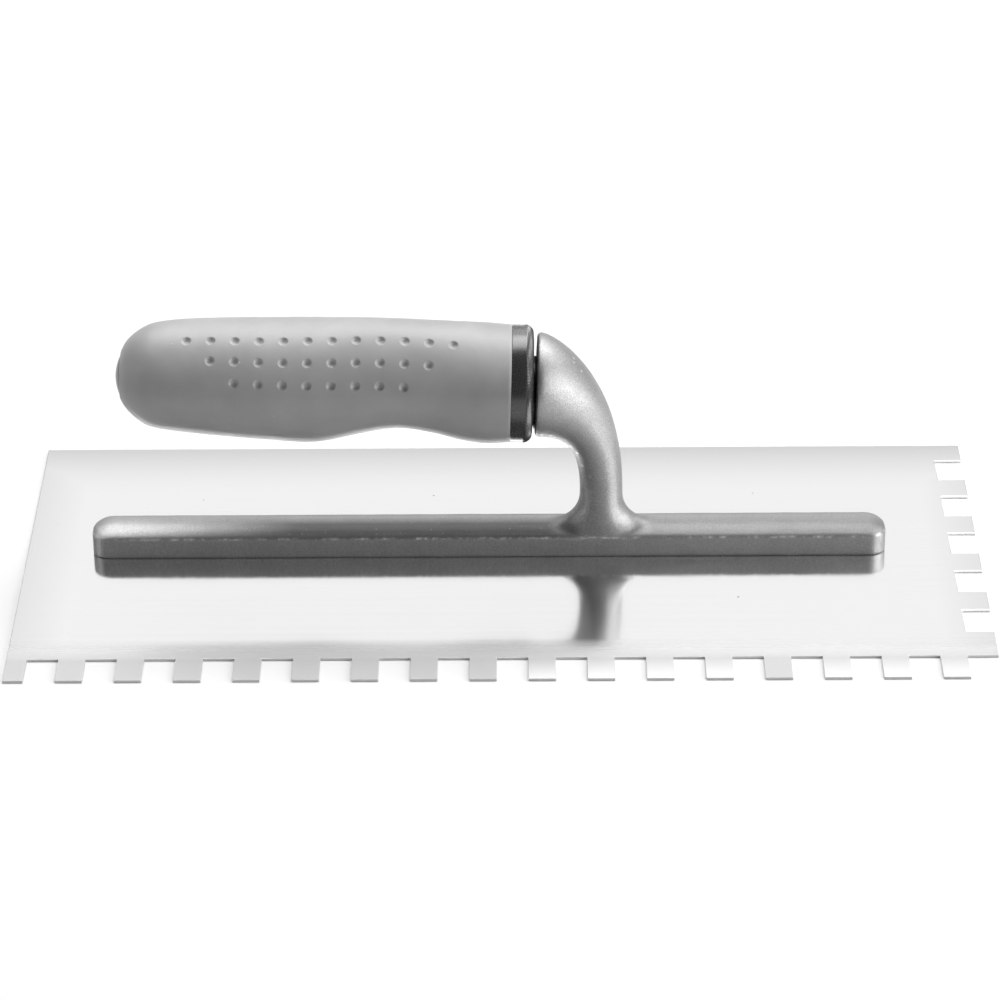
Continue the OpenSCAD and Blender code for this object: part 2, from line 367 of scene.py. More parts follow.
def spin_profile(points, steps, closed):
    """Profile of (radius, height) points, spun about the Z axis. An open one starts and ends on the axis."""
    bm = bmesh.new()
    verts = [bm.verts.new((radius, 0, height)) for radius, height in points]
    edges = [bm.edges.new(pair) for pair in zip(verts, verts[1:] + (verts[:1] if closed else []))]
    bmesh.ops.spin(bm, geom=verts + edges, cent=(0, 0, 0), axis=(0, 0, 1), angle=math.tau, steps=steps,
                   use_merge=True, use_duplicate=False)
    bmesh.ops.remove_doubles(bm, verts=bm.verts, dist=1e-7)
    return bm


def quarter(radius, end, size, steps=8):
    """Rounded corner from a front face to a side of that radius, its face at end - size."""
    turn = [QUARTER_TURN * k / steps for k in range(steps + 1)]
    return [(radius - size * (1 - math.sin(a)), end - size * math.cos(a)) for a in turn]


front_round = quarter(COLLAR_RADIUS, COLLAR_GAP + COLLAR_ROUND, COLLAR_ROUND)
lip = [(COLLAR_RADIUS, COLLAR_END - 0.45 * MM), (COLLAR_RADIUS - 0.12 * MM, COLLAR_END - 0.12 * MM),
       (COLLAR_RADIUS - COLLAR_LIP, COLLAR_END)]
core_profile = (
    [(BORE_RADIUS, 0), (SPIGOT_RADIUS - SPIGOT_EDGE, 0), (SPIGOT_RADIUS, SPIGOT_EDGE),
     (SPIGOT_RADIUS, COLLAR_GAP)]
    + front_round + lip
    + [(CORE_RADIUS, COLLAR_END), (CORE_RADIUS, CORE_TAPER), (CORE_END_RADIUS, CORE_END),
       (POCKET_RADIUS, CORE_END), (POCKET_RADIUS, POCKET_START), (BORE_RADIUS, POCKET_START)]
)
bm = spin_profile(core_profile, 2 * RIB_COUNT, closed=True)
print("core: profile of", len(core_profile), "points, spun to", len(bm.faces), "faces")

# %% [markdown]
# ## Ribs on the collar
#
# The collar's rounded front carries very fine ribs. Cutting each one would take hundreds of booleans. They
# come from the spin itself instead: it has two steps for each rib, and every second column of the rounding
# is moved outwards.

# %% Ribs
RIB_HEIGHT = 0.12 * MM
RIB_LEAN = 0.4                      # how much a rib also stands forwards, as a share of outwards
RIB_START = COLLAR_GAP + 0.1 * MM
RIB_END = COLLAR_GAP + COLLAR_ROUND - 0.05 * MM

ribbed = 0
for v in bm.verts:
    column = round(math.atan2(v.co.y, v.co.x) / math.tau * 2 * RIB_COUNT)
    on_round = RIB_START < v.co.z < RIB_END and v.co.xy.length > COLLAR_RADIUS - COLLAR_ROUND
    if column % 2 and on_round:
        outward = Vector((v.co.x, v.co.y, 0)).normalized()
        v.co += (outward - Vector((0, 0, RIB_LEAN))).normalized() * RIB_HEIGHT
        ribbed += 1
print("collar:", RIB_COUNT, "ribs,", ribbed, "points raised")

# %% [markdown]
# ## The spigot
#
# The spigot is the short round neck that fills the gap between the collar and the seat. It sits lower than
# the collar's middle, and its end lies against the seat, which is tilted a little differently from the
# handle. So its points, all but those of the bore, are moved down, and then those at its end are leaned
# onto the seat.

# %% Spigot
SPIGOT_DROP = 2.7 * MM

seat_local = HANDLE.inverted() @ seat_middle
lean = math.tan(SEAT_TILT - math.atan2(to_butt.z, -to_butt.x))
for v in bm.verts:
    radius = v.co.xy.length
    if v.co.z < COLLAR_GAP + 1e-7 and BORE_RADIUS + 1e-6 < radius < SPIGOT_RADIUS + 1e-6:
        v.co.x -= SPIGOT_DROP
    if v.co.z < COLLAR_GAP - 1e-7 and radius < SPIGOT_RADIUS + 1e-6:
        v.co.z += seat_local.z - (v.co.x - seat_local.x) * lean
print("spigot: leans", round(math.degrees(math.atan(lean)), 2), "degrees more than the handle")
bmesh.ops.transform(bm, matrix=HANDLE, verts=bm.verts)
core = finish_piece("handle_core_collar", bm, ["handle_core"], sharp_at=50, merge=1e-7)

# %% [markdown]
# ## The butt plug
#
# A small hard cup closes the hole through which the nut was tightened. It is spun like the core, with a
# gently domed face and a rounded rim. Its profile starts and ends on the axis, so the spin closes it.

# %% Plug
PLUG_START = 106 * MM
PLUG_RIM = 115.8 * MM
PLUG_APEX = 117.4 * MM
PLUG_WALL = 1.3 * MM
PLUG_STEPS = 96
DOME_POINTS = 8

dome_height = PLUG_APEX - PLUG_RIM
dome_radius = (POCKET_RADIUS ** 2 + dome_height ** 2) / (2 * dome_height)
dome_angle = math.asin(POCKET_RADIUS / dome_radius)
dome_turn = [dome_angle * k / DOME_POINTS for k in range(DOME_POINTS)]
dome = [(dome_radius * math.sin(a), PLUG_APEX - dome_radius * (1 - math.cos(a))) for a in dome_turn]
plug_profile = dome + [
    (POCKET_RADIUS - 0.12 * MM, PLUG_RIM - 0.02 * MM), (POCKET_RADIUS, PLUG_RIM - 0.2 * MM),
    (POCKET_RADIUS, PLUG_START), (POCKET_RADIUS - PLUG_WALL, PLUG_START),
    (POCKET_RADIUS - PLUG_WALL, PLUG_RIM - PLUG_WALL), (0, PLUG_RIM - PLUG_WALL)]
bm = spin_profile(plug_profile, PLUG_STEPS, closed=False)
print("plug: domed by", round(dome_height / MM, 1), "mm")
bmesh.ops.transform(bm, matrix=HANDLE, verts=bm.verts)
plug = finish_piece("butt_plug_cup", bm, ["butt_plug"], sharp_at=40)

# %% [markdown]
# ## The soft grip
#
# The grip is a sleeve of soft elastomer with a waist for the fingers, a belly behind it and a round end. It
# could be sculpted, or a subdivided cage could be pulled to shape. Here its shape is a short table instead:
# at each distance from the seat, the height of the crown, the depth of the belly and half the width, with
# a smooth curve through them. A tube of radius 1 is extruded first, ring by ring, then every point of it is
# moved out to the shape. Because the shape is a formula, the tube can be cut finer just where a dimple will
# be, and the new points still land exactly on the smooth surface.

# %% Shape of the grip
GRIP_STATIONS = [                   # distance from the seat, crown, belly, half width, in mm
    (7.55, 16.4, 16.4, 16.4), (14, 16.9, 16.9, 16.6), (21, 17.2, 15.9, 16.3), (29, 17.6, 13.7, 15.6),
    (38.5, 18, 12.4, 15.2), (48.5, 18, 14.4, 15.6), (57, 17.7, 16.8, 16.2), (64, 17.5, 17.8, 16.7),
    (75, 17.1, 17.1, 16.8), (86.5, 16.8, 16.4, 16.3), (98, 16.2, 15.4, 15.6), (106, 15.1, 14.4, 14.6),
    (110, 13.5, 12.9, 13.1), (113.2, 11.1, 10.3, 10.6), (114.9, 9.0, 8.4, 8.6), (115.9, 6.9, 6.7, 6.8),
]


def through(a, b, c, d, f):
    """Value at the fraction f of the span from b to c, on a smooth curve through a, b, c and d."""
    square, cube = 2 * a - 5 * b + 4 * c - d, 3 * b - a - 3 * c + d
    return 0.5 * (2 * b + (c - a) * f + square * f * f + cube * f ** 3)


def grip_section(u):
    """Crown, belly and half width at a distance u from the seat."""
    u /= MM
    last = len(GRIP_STATIONS) - 2
    i = max(k for k in range(last + 1) if k == 0 or GRIP_STATIONS[k][0] <= u)
    a, b = GRIP_STATIONS[max(i - 1, 0)], GRIP_STATIONS[i]
    c, d = GRIP_STATIONS[i + 1], GRIP_STATIONS[min(i + 2, last + 1)]
    low, high = 0.0, 1.0
    for _ in range(24):             # find the fraction of the span whose distance is u
        f = (low + high) / 2
        at = through(a[0], b[0], c[0], d[0], f)
        low, high = (f, high) if at < u else (low, f)
    return [through(a[k], b[k], c[k], d[k], f) * MM for k in (1, 2, 3)]


def on_grip(u, angle):
    crown, belly, side = grip_section(u)
    upper = crown if math.cos(angle) > 0 else belly
    return Vector((upper * math.cos(angle), side * math.sin(angle), u))


print("grip:", len(GRIP_STATIONS), "stations from", GRIP_STATIONS[0][0], "to", GRIP_STATIONS[-1][0], "mm")

# %% [markdown]
# ## Dimples
#
# Three rows of round dimples on each side keep a wet hand from slipping. Each row is shorter than the one
# above by a dimple at both ends, and climbs a little towards the crown on its way to the butt, so its angle
# changes evenly from dimple to dimple. Each dimple is a shallow piece of a ball pressed into the surface.

# %% Where the dimples are
DIMPLE_RADIUS = 1.3 * MM
DIMPLE_DEPTH = 0.7 * MM
DIMPLE_PITCH = 6.68 * MM
DIMPLE_MIDDLE = 60.3 * MM
DIMPLE_ROWS = [                     # degrees from the crown at the collar's end and at the butt's, how many
    (27.3, 26.2, 12), (50.5, 47.8, 10), (71.8, 68.6, 8),
]

dimples = []
for by_collar, by_butt, count in DIMPLE_ROWS:
    for k in range(count):
        u = DIMPLE_MIDDLE + (k - (count - 1) / 2) * DIMPLE_PITCH
        degrees = by_collar + (by_butt - by_collar) * k / (count - 1)
        for side in (-1, 1):
            dimples.append((u, side * math.radians(degrees)))
print("dimples:", len(dimples))

# %% [markdown]
# ## The tube under the grip's shape
#
# The tube is a circle extruded ring by ring. Faces near a dimple are subdivided, because a dimple is hardly
# wider than two of them, while the rest of the grip stays coarse and light. Then each point goes to its
# place on the grip.

# %% Tube of the grip
GRIP_SIDES = 128
GRIP_START = GRIP_STATIONS[0][0] * MM
GRIP_END = GRIP_STATIONS[-1][0] * MM
RING_STEP = 0.85 * MM

ring_count = round((GRIP_END - GRIP_START) / RING_STEP)
grip_bm = bmesh.new()
circle = bmesh.ops.create_circle(grip_bm, cap_ends=False, segments=GRIP_SIDES, radius=1,
                                 matrix=Matrix.Translation((0, 0, GRIP_START)))
ring_edges = list({e for v in circle["verts"] for e in v.link_edges})
ring_step = (GRIP_END - GRIP_START) / ring_count
for _ in range(ring_count):
    grown = bmesh.ops.extrude_edge_only(grip_bm, edges=ring_edges)["geom"]
    ring_edges = [g for g in grown if isinstance(g, bmesh.types.BMEdge) and
                  abs(g.verts[0].co.z - g.verts[1].co.z) < 1e-9]
    new_verts = [g for g in grown if isinstance(g, bmesh.types.BMVert)]
    bmesh.ops.translate(grip_bm, vec=(0, 0, ring_step), verts=new_verts)
print("grip tube:", ring_count, "rings of", GRIP_SIDES, "faces")

# %% Finer cuts at the dimples, and the shape
FINER_CUTS = 4
MEAN_RADIUS = 17 * MM
DIMPLE_REACH = 2.1 * MM             # faces whose middle is closer than this are cut finer

near_edges = set()
for face in grip_bm.faces:
    centre = face.calc_center_median()
    angle = math.atan2(centre.y, centre.x)
    for u, a in dimples:
        if abs(centre.z - u) < DIMPLE_REACH and abs(angle - a) * MEAN_RADIUS < DIMPLE_REACH:
            near_edges.update(face.edges)
            break
bmesh.ops.subdivide_edges(grip_bm, edges=list(near_edges), cuts=FINER_CUTS, use_grid_fill=True)
for v in grip_bm.verts:
    v.co = on_grip(v.co.z, math.atan2(v.co.y, v.co.x))
bmesh.ops.recalc_face_normals(grip_bm, faces=grip_bm.faces)
print("grip skin:", len(grip_bm.faces), "faces")

# %% [markdown]
# ## Pressing the dimples in
#
# Sixty booleans with a ball would leave sixty hard rims. Moving the points along the surface's normal by the
# depth of a ball keeps one clean skin, and a small softening number rounds the rim as a mould does.

# %% Press the dimples in
RIM_SOFT = 0.035 * MM
NEAR = 2 * DIMPLE_RADIUS            # points farther than this from a dimple's middle stay where they are
SIDE_STEP = 0.02                    # radians, to find the surface's direction across the grip
ball_radius = (DIMPLE_RADIUS ** 2 + DIMPLE_DEPTH ** 2) / (2 * DIMPLE_DEPTH)


def dimple_depth(d):
    """Depth of the surface at a distance d from a dimple's middle, with a softened rim."""
    ball = math.sqrt(max(ball_radius ** 2 - d * d, 0)) - (ball_radius - DIMPLE_DEPTH)
    return (ball + math.sqrt(ball * ball + RIM_SOFT * RIM_SOFT)) / 2 if d < NEAR else 0


def dimple_place(u, angle):
    """A dimple's middle on the grip and the outward normal there."""
    at = on_grip(u, angle)
    ahead, beside = on_grip(u + MM, angle) - at, on_grip(u, angle + SIDE_STEP) - at
    normal = beside.cross(ahead).normalized()
    return at, normal if normal.dot(Vector((at.x, at.y, 0))) > 0 else -normal


places = [dimple_place(u, angle) for u, angle in dimples]
pressed = 0
for v in grip_bm.verts:
    for at, normal in places:
        offset = v.co - at
        if abs(offset.z) < NEAR and offset.length < NEAR:
            flat = (offset - normal * offset.dot(normal)).length
            v.co -= normal * dimple_depth(flat)
            pressed += 1
            break
print("dimples: ball of", round(ball_radius / MM, 2), "mm,", pressed, "points near one")

# %% [markdown]
# ## The grip's ends and its bore
#
# The sleeve ends in a small rounded lip against the collar, which shows as a thin light line. The plan for
# the rest is to turn the butt's end in to the plug, to follow the core's outline from both ends, and to
# bridge the two rings, so that the grip is a closed solid.
#
# Known fault: only the collar's end is made. The butt's ring isn't found, because the sum of the tube's 127
# steps is off by slightly more than RING_TOLERANCE, so nothing is turned in there and nothing is bridged.
# The sleeve is left open at the butt and without a wall along its bore. The printed number of open edges
# shows it: it should be 0. A tolerance of 1e-6 is expected to find the ring.

# %% Ends of the grip
RING_TOLERANCE = 1e-7               # metres


def is_at(edge, u):
    return all(abs(v.co.z - u) < RING_TOLERANCE for v in edge.verts)


def ring_at(bm, u):
    return [e for e in bm.edges if len(e.link_faces) == 1 and is_at(e, u)]


def turn_in(bm, edges, radius, u):
    """Extrude an open ring to a true circle of that radius at u, and give the new ring."""
    grown = bmesh.ops.extrude_edge_only(bm, edges=edges)["geom"]
    for v in (g for g in grown if isinstance(g, bmesh.types.BMVert)):
        angle = math.atan2(v.co.y, v.co.x)
        v.co = (radius * math.cos(angle), radius * math.sin(angle), u)
    return ring_at(bm, u)


CLEARANCE = 0.01 * MM               # between the sleeve and the core's end faces
front_lip = [
    (COLLAR_RADIUS - 0.10 * MM, GRIP_START - 0.12 * MM), (COLLAR_RADIUS - 0.35 * MM, GRIP_START - 0.16 * MM),
    (COLLAR_RADIUS - 0.9 * MM, GRIP_START - 0.02 * MM), (CORE_RADIUS, GRIP_START + CLEARANCE)]
back_lip = [
    (POCKET_RADIUS + 0.25 * MM, GRIP_END + 0.1 * MM), (POCKET_RADIUS + 0.06 * MM, GRIP_END - 0.15 * MM),
    (POCKET_RADIUS + 0.03 * MM, CORE_END + CLEARANCE), (CORE_END_RADIUS, CORE_END + 2 * CLEARANCE),
    (CORE_RADIUS, CORE_TAPER)]
front = ring_at(grip_bm, GRIP_START)
for radius, u in front_lip:
    front = turn_in(grip_bm, front, radius, u)
back = ring_at(grip_bm, GRIP_END)
for radius, u in back_lip:
    back = turn_in(grip_bm, back, radius, u)
bmesh.ops.bridge_loops(grip_bm, edges=front + back)
open_edges = sum(not e.is_manifold for e in grip_bm.edges)
print("grip: open edges left:", open_edges)
bmesh.ops.transform(grip_bm, matrix=HANDLE, verts=grip_bm.verts)
grip = finish_piece("soft_grip_sleeve", grip_bm, ["soft_grip"], sharp_at=60, merge=1e-7)

# %% [markdown]
# ## Rivets
#
# Eight countersunk aluminium rivets hold the blade. They are set and then ground flush, which leaves a
# faint seam round each head and a small dimple of the mandrel in the middle. One profile is spun at each of
# the CAD rivets' places. The seam is a tiny bevel on the head's rim.

# %% Rivets
RIVET_HEAD = 3.4 * MM
RIVET_SHANK = 2.0 * MM
RIVET_CHAMFER = 0.2 * MM            # on the shank's upper end
RIVET_STEPS = 48
rivet_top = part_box("rivet_1")[1].z
rivet_profile = [
    (0, 0.05 * MM), (0.5 * MM, 0.04 * MM), (0.75 * MM, 0.0), (RIVET_HEAD - 0.14 * MM, 0.0),
    (RIVET_HEAD - 0.05 * MM, 0.03 * MM), (RIVET_SHANK, blade_high.z),
    (RIVET_SHANK, rivet_top - RIVET_CHAMFER), (RIVET_SHANK - RIVET_CHAMFER, rivet_top), (0, rivet_top)]
rivets = []
for node in sorted(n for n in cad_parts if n.startswith("rivet_")):
    bm = spin_profile(rivet_profile, RIVET_STEPS, closed=False)
    place = middle(node)
    bmesh.ops.translate(bm, vec=(place.x, place.y, 0), verts=bm.verts)
    rivets.append(finish_piece(node + "_set", bm, [node], sharp_at=40))
print("rivets:", len(rivets))

# %% [markdown]
# ## Node helpers and shared effects
#
# Materials are built in code. Small helpers make a node, wire it, remap a value and do one sum. Effects that
# several finishes share are node groups, made once and placed in each material with its own values: a grain,
# a slow mottle, fine straight scratches, specks of dust, and wear on edges. They read Object coordinates,
# which are metres here, so a size of 0.3 mm is a scale of about 3000.

# %% Helpers for nodes
FLOAT, VECTOR = "NodeSocketFloat", "NodeSocketVector"


def node(tree, kind, values=None, **settings):
    made = tree.nodes.new(kind)
    for key, value in settings.items():
        setattr(made, key, value)
    for key, value in (values or {}).items():
        made.inputs[key].default_value = value
    return made


def wire(tree, source, target):
    tree.links.new(source, target)


def new_group(name, inputs, outputs):
    group = bpy.data.node_groups.new(name, "ShaderNodeTree")
    for label, kind, value in inputs:
        socket = group.interface.new_socket(name=label, in_out="INPUT", socket_type=kind)
        if value is not None:
            socket.default_value = value
    for label in outputs:
        group.interface.new_socket(name=label, in_out="OUTPUT", socket_type=FLOAT)
    print("group", name + ":", [label for label, kind, value in inputs], "->", outputs)
    return group, group.nodes.new("NodeGroupInput"), group.nodes.new("NodeGroupOutput")


def ramp(tree, source, low, high, to_low=0.0, to_high=1.0):
    made = node(tree, "ShaderNodeMapRange",
                {"From Min": low, "From Max": high, "To Min": to_low, "To Max": to_high})
    wire(tree, source, made.inputs["Value"])
    return made.outputs["Result"]


def maths(tree, operation, a, b):
    made = node(tree, "ShaderNodeMath", operation=operation)
    for socket, value in zip(made.inputs, (a, b)):
        if isinstance(value, (int, float)):
            socket.default_value = value
        else:
            wire(tree, value, socket)
    return made.outputs[0]


# %% [markdown]
# ### Fine grain
#
# Blasted metal, moulded rubber and satin plastic all have a skin of tiny bumps. Noise alone looks like fog
# and cells alone like scales, so the grain is two parts of noise to one of cells, the cells a little larger.

# %% Group: fine grain
NOISE_SHARE, CELL_SHARE = 0.65, 0.35
CELL_SCALE = 0.7                    # as a share of the noise's scale
grain_group, gin, gout = new_group(
    "fine_grain", [("Vector", VECTOR, None), ("Scale", FLOAT, 2500.0)], ["Grain"])
coarse = node(grain_group, "ShaderNodeTexNoise", {"Detail": 3.0, "Roughness": 0.6})
cells = node(grain_group, "ShaderNodeTexVoronoi")
wire(grain_group, gin.outputs["Vector"], coarse.inputs["Vector"])
wire(grain_group, gin.outputs["Scale"], coarse.inputs["Scale"])
wire(grain_group, gin.outputs["Vector"], cells.inputs["Vector"])
wire(grain_group, maths(grain_group, "MULTIPLY", gin.outputs["Scale"], CELL_SCALE), cells.inputs["Scale"])
noise_part = maths(grain_group, "MULTIPLY", coarse.outputs["Fac"], NOISE_SHARE)
cell_part = maths(grain_group, "MULTIPLY", cells.outputs["Distance"], CELL_SHARE)
wire(grain_group, maths(grain_group, "ADD", noise_part, cell_part), gout.inputs["Grain"])

# %% [markdown]
# ### Slow mottle
#
# No real surface has one even tone. Handling, moulding and cleaning leave soft clouds some millimetres wide,
# which a noise with a low scale gives. Its middle part is stretched to the full range of 0 to 1.

# %% Group: slow mottle
mottle_group, gin, gout = new_group(
    "slow_mottle", [("Vector", VECTOR, None), ("Scale", FLOAT, 90.0)], ["Mottle"])
slow = node(mottle_group, "ShaderNodeTexNoise", {"Detail": 4.0, "Roughness": 0.55, "Distortion": 0.3})
wire(mottle_group, gin.outputs["Vector"], slow.inputs["Vector"])
wire(mottle_group, gin.outputs["Scale"], slow.inputs["Scale"])
wire(mottle_group, ramp(mottle_group, slow.outputs["Fac"], 0.3, 0.7), gout.inputs["Mottle"])

# %% [markdown]
# ### Fine straight scratches
#
# Grinding leaves lines that run one way. Noise gives them when its coordinates are multiplied by a small
# number along the stroke and by a large one across it. The brightest share of the lines is also given as
# separate scratches.

# %% Group: fine straight scratches
scratch_group, gin, gout = new_group(
    "fine_scratches", [("Vector", VECTOR, None), ("Along", FLOAT, 12.0), ("Across", FLOAT, 4200.0),
                       ("Share", FLOAT, 0.35)], ["Lines", "Scratches"])
stretch = node(scratch_group, "ShaderNodeCombineXYZ")
for axis, label in (("X", "Along"), ("Y", "Across"), ("Z", "Across")):
    wire(scratch_group, gin.outputs[label], stretch.inputs[axis])
scaled = node(scratch_group, "ShaderNodeVectorMath", operation="MULTIPLY")
wire(scratch_group, gin.outputs["Vector"], scaled.inputs[0])
wire(scratch_group, stretch.outputs["Vector"], scaled.inputs[1])
lines = node(scratch_group, "ShaderNodeTexNoise", {"Scale": 1.0, "Detail": 3.0, "Roughness": 0.7})
wire(scratch_group, scaled.outputs["Vector"], lines.inputs["Vector"])
wire(scratch_group, lines.outputs["Fac"], gout.inputs["Lines"])
edge_of = maths(scratch_group, "SUBTRACT", 1.0, gin.outputs["Share"])
over = maths(scratch_group, "SUBTRACT", lines.outputs["Fac"], edge_of)
wire(scratch_group, ramp(scratch_group, over, 0.0, 0.05), gout.inputs["Scratches"])

# %% [markdown]
# ### Specks of dust
#
# A used or stored tool carries a few specks. Each cell of a Voronoi texture has one point, and the round
# patch near the point is the speck. Each cell's own random colour picks about a quarter of them.

# %% Group: specks of dust
SPECK_PICK = 0.72                   # a cell whose random number is above this has a speck
speck_group, gin, gout = new_group(
    "dust_specks", [("Vector", VECTOR, None), ("Scale", FLOAT, 260.0), ("Size", FLOAT, 0.12)], ["Specks"])
dots = node(speck_group, "ShaderNodeTexVoronoi", {"Randomness": 1.0})
wire(speck_group, gin.outputs["Vector"], dots.inputs["Vector"])
wire(speck_group, gin.outputs["Scale"], dots.inputs["Scale"])
inside = maths(speck_group, "LESS_THAN", dots.outputs["Distance"], gin.outputs["Size"])
pick = node(speck_group, "ShaderNodeSeparateColor")
wire(speck_group, dots.outputs["Color"], pick.inputs["Color"])
chosen = maths(speck_group, "GREATER_THAN", pick.outputs["Red"], SPECK_PICK)
wire(speck_group, maths(speck_group, "MULTIPLY", inside, chosen), gout.inputs["Specks"])

# %% [markdown]
# ### Wear on edges
#
# What stands proud is rubbed first. Pointiness is above a half on convex edges, so a remap from Start to
# Full makes a mask of them, and a noise breaks the mask up so that the wear isn't a drawn line.

# %% Group: wear on edges
wear_group, gin, gout = new_group(
    "edge_wear", [("Vector", VECTOR, None), ("Start", FLOAT, 0.52), ("Full", FLOAT, 0.6)], ["Wear"])
form = node(wear_group, "ShaderNodeNewGeometry")
patch = node(wear_group, "ShaderNodeTexNoise", {"Scale": 700.0, "Detail": 3.0})
wire(wear_group, gin.outputs["Vector"], patch.inputs["Vector"])
span = node(wear_group, "ShaderNodeMapRange")
wire(wear_group, form.outputs["Pointiness"], span.inputs["Value"])
wire(wear_group, gin.outputs["Start"], span.inputs["From Min"])
wire(wear_group, gin.outputs["Full"], span.inputs["From Max"])
patchy = ramp(wear_group, patch.outputs["Fac"], 0.35, 0.6, 0.35, 1.0)
wire(wear_group, maths(wear_group, "MULTIPLY", span.outputs["Result"], patchy), gout.inputs["Wear"])

# %% [markdown]
# ## How a finish is put together
#
# Every finish starts with one Principled shader and the Object coordinates. Colours are blended one over
# another by masks, relief is a bump with a height in real millimetres, and at the end the material is given
# to its pieces. A plain number stands for a grey.


# %% Helpers for materials
def start_material(name):
    material = bpy.data.materials.new(name)
    material.use_nodes = True
    tree = material.node_tree
    tree.nodes.clear()
    output = node(tree, "ShaderNodeOutputMaterial")
    shader = node(tree, "ShaderNodeBsdfPrincipled")
    wire(tree, shader.outputs["BSDF"], output.inputs["Surface"])
    where = node(tree, "ShaderNodeTexCoord").outputs["Object"]
    return material, tree, shader, where


def effect(tree, group, where, **values):
    made = node(tree, "ShaderNodeGroup", node_tree=group)
    wire(tree, where, made.inputs["Vector"])
    for key, value in values.items():
        made.inputs[key].default_value = value
    return made.outputs


MIX_A, MIX_B, MIX_RESULT = 6, 7, 2  # places of a Mix node's colour sockets


def blend_colour(tree, factor, a, b):
    """Colour a where the factor is 0, b where it is 1."""
    made = node(tree, "ShaderNodeMix", data_type="RGBA")
    wire(tree, factor, made.inputs["Factor"])
    for socket, value in ((made.inputs[MIX_A], a), (made.inputs[MIX_B], b)):
        if isinstance(value, (int, float)):
            socket.default_value = (value, value, value, 1)
        elif isinstance(value, tuple):
            socket.default_value = (*value, 1)
        else:
            wire(tree, value, socket)
    return made.outputs[MIX_RESULT]


def relief(tree, height, distance, strength=1.0, after=None):
    made = node(tree, "ShaderNodeBump", {"Strength": strength, "Distance": distance})
    wire(tree, height, made.inputs["Height"])
    if after is not None:
        wire(tree, after, made.inputs["Normal"])
    return made.outputs["Normal"]


def coordinates(tree, where):
    """The Object coordinates as separate X, Y and Z."""
    split = node(tree, "ShaderNodeSeparateXYZ")
    wire(tree, where, split.inputs["Vector"])
    return split.outputs


def distance_from(tree, coordinate, value):
    return maths(tree, "ABSOLUTE", maths(tree, "SUBTRACT", coordinate, value), 0)


def give(material, *pieces):
    for piece in pieces:
        piece.data.materials.append(material)
    print(f"{material.name}: {len(material.node_tree.nodes)} nodes, on", [piece.name for piece in pieces])


# %% [markdown]
# ## Polished stainless steel
#
# The sheet is ground in long strokes and then polished, so it mirrors what is close to it and blurs what is
# far. Shade is painted into the polish towards the back edge and the two ends, and a power of the distance
# makes that painted shade soft. The teeth and the band behind them drag through the adhesive, so they are
# worn dull: there the steel is darker, much rougher and only partly a mirror. The mask of that band runs out
# over a centimetre.

# %% Blade: masks and colour
BACK_SHADE = 26 * MM                # how far in from the back edge shade is painted
END_SHADE = 14 * MM
WORN_FULL, WORN_END = 10 * MM, 21 * MM    # distances from the tips of the front teeth
blade_steel, tree, shader, where = start_material("polished_stainless")
position = coordinates(tree, where)
strokes = effect(tree, scratch_group, where, Along=4.0, Across=5200.0)
specks = effect(tree, speck_group, where, Scale=150.0, Size=0.05)["Specks"]
from_back = maths(tree, "SUBTRACT", blade_high.y, position["Y"])
from_ends = maths(tree, "SUBTRACT", blade_high.x, distance_from(tree, position["X"], 0))
shade_back = ramp(tree, from_back, 0.0, BACK_SHADE, 1.0, 0.0)
shade_ends = ramp(tree, from_ends, 0.0, END_SHADE, 0.45, 0.0)
shade = maths(tree, "MAXIMUM", maths(tree, "POWER", shade_back, 1.6), shade_ends)
from_front = maths(tree, "SUBTRACT", position["Y"], blade_low.y)
worn = ramp(tree, from_front, WORN_FULL, WORN_END, 1.0, 0.0)
# painted shade towards the back edge and the ends
steel = blend_colour(tree, shade, 0.93, 0.67)
steel = blend_colour(tree, ramp(tree, strokes["Lines"], 0.35, 0.65, 0.0, 0.10), steel, 0.75)
steel = blend_colour(tree, maths(tree, "MULTIPLY", worn, 0.9), steel, 0.45)
wire(tree, blend_colour(tree, specks, steel, 0.45), shader.inputs["Base Color"])
print("blade: polish worn off up to", WORN_END / MM, "mm from the front")

# %% [markdown]
# ### Gloss of the blade
#
# Soft smudges and the grinding lines vary the roughness a little, and the lines also tilt the normal, by
# thousandths of a millimetre: more than that would break up the clean reflections of the bar and the neck.

# %% Blade: gloss and relief
smudge = effect(tree, mottle_group, where, Scale=28.0)["Mottle"]
line_gloss = ramp(tree, strokes["Lines"], 0.3, 0.7, 0.0, 0.03)
gloss = maths(tree, "ADD", ramp(tree, smudge, 0, 1, 0.09, 0.12), line_gloss)
gloss = maths(tree, "ADD", gloss, maths(tree, "MULTIPLY", worn, 0.30))
wire(tree, gloss, shader.inputs["Roughness"])
wire(tree, maths(tree, "SUBTRACT", 1.0, maths(tree, "MULTIPLY", worn, 0.70)), shader.inputs["Metallic"])
wire(tree, relief(tree, strokes["Lines"], 0.003 * MM, 0.2), shader.inputs["Normal"])
give(blade_steel, blade)
